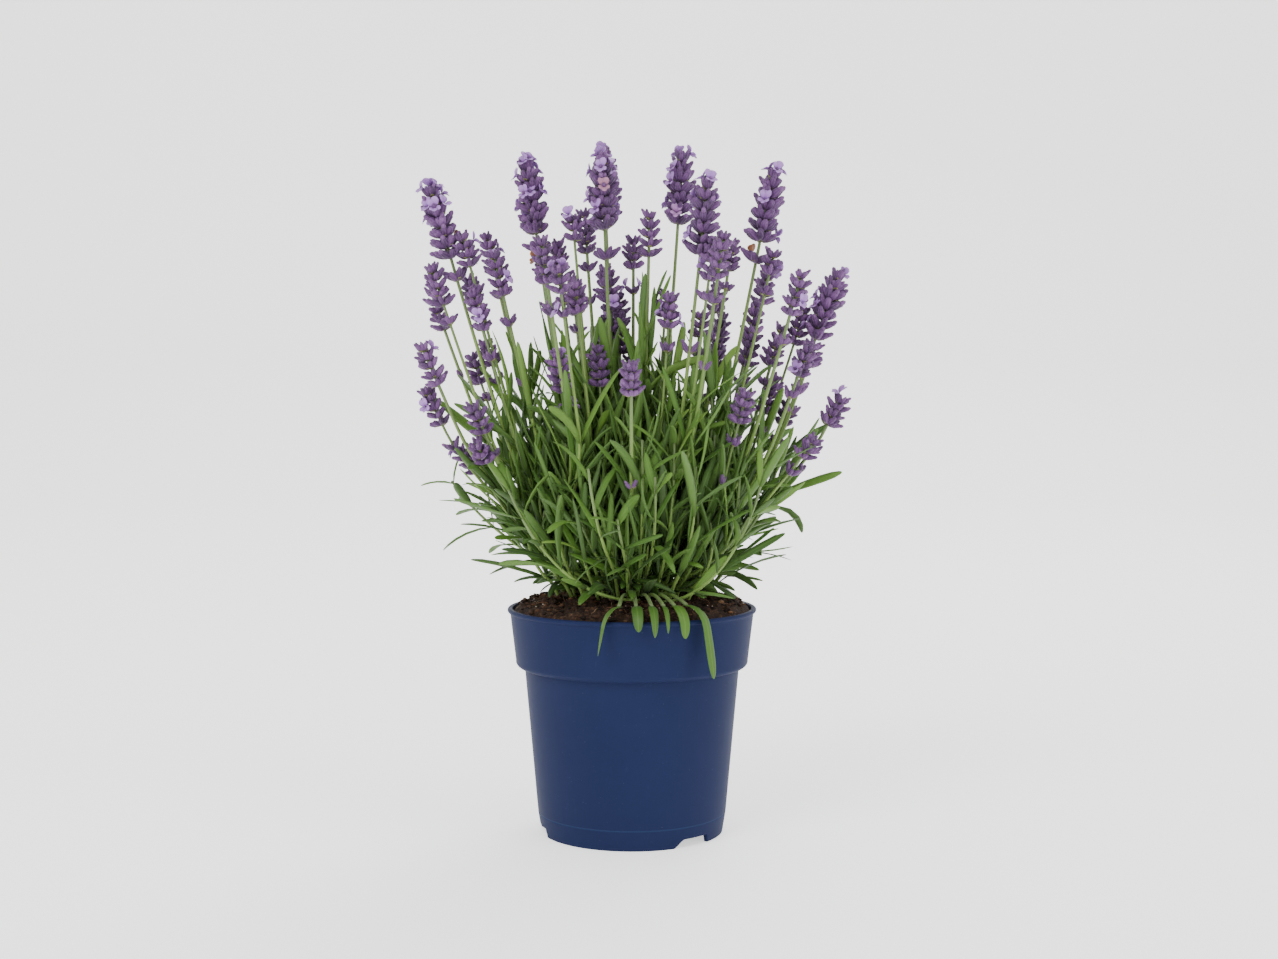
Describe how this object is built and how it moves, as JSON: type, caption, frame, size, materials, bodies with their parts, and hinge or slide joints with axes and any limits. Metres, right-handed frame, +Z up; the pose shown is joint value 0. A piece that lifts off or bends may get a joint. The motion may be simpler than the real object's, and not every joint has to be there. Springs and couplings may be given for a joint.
{
  "type": "potted lavender",
  "caption": "Flowering lavender plant growing in a tapered plastic nursery pot of soil, free-standing on a notched foot ring.",
  "frame": {"origin": "middle of the pot's foot ring, on the surface that it stands on", "axes": "+Z up, -Y towards the front view, +X to the right of it"},
  "size_m": [0.2226, 0.1655, 0.3596],
  "materials": {
    "navy_plastic": "satin moulded plastic, fine speckle and dust",
    "potting_soil": null,
    "crown_wood": "rough woody stem base",
    "foliage": "green leaf and stem, slightly downy; fabric stands in for plant tissue",
    "flower": "downy violet calyces with lilac flowers; fabric stands in for plant tissue"
  },
  "bodies": {
    "root": {"pot": "navy_plastic", "potting_soil": "potting_soil", "crown_left": "crown_wood", "crown_middle": "crown_wood", "crown_right": "crown_wood", "branch_01": "foliage", "branch_02": "foliage", "branch_03": "foliage", "branch_04": "foliage", "branch_05": "foliage", "branch_06": "foliage", "branch_07": "foliage", "branch_08": "foliage", "branch_09": "foliage", "branch_10": "foliage", "branch_11": "foliage", "branch_12": "foliage", "branch_13": "foliage", "branch_14": "foliage", "branch_15": "foliage", "branch_16": "foliage", "branch_17": "foliage", "branch_18": "foliage", "branch_19": "foliage", "flower_spike_01": "flower", "flower_spike_02": "flower", "flower_spike_03": "flower", "flower_spike_04": "flower", "flower_spike_05": "flower", "flower_spike_06": "flower", "flower_spike_07": "flower", "flower_spike_08": "flower", "flower_spike_09": "flower", "flower_spike_10": "flower", "flower_spike_11": "flower", "flower_spike_12": "flower", "flower_spike_13": "flower", "flower_spike_14": "flower", "flower_spike_15": "flower", "flower_spike_16": "flower", "flower_spike_17": "flower", "flower_spike_18": "flower", "flower_spike_19": "flower", "flower_spike_20": "flower", "flower_spike_21": "flower", "flower_spike_22": "flower", "flower_spike_23": "flower", "flower_spike_24": "flower", "flower_spike_25": "flower", "flower_spike_26": "flower", "flower_spike_27": "flower", "flower_spike_28": "flower", "flower_spike_29": "flower", "flower_spike_30": "flower", "flower_spike_31": "flower", "flower_spike_32": "flower", "flower_spike_33": "flower", "flower_spike_34": "flower"}
  },
  "joints": []
}
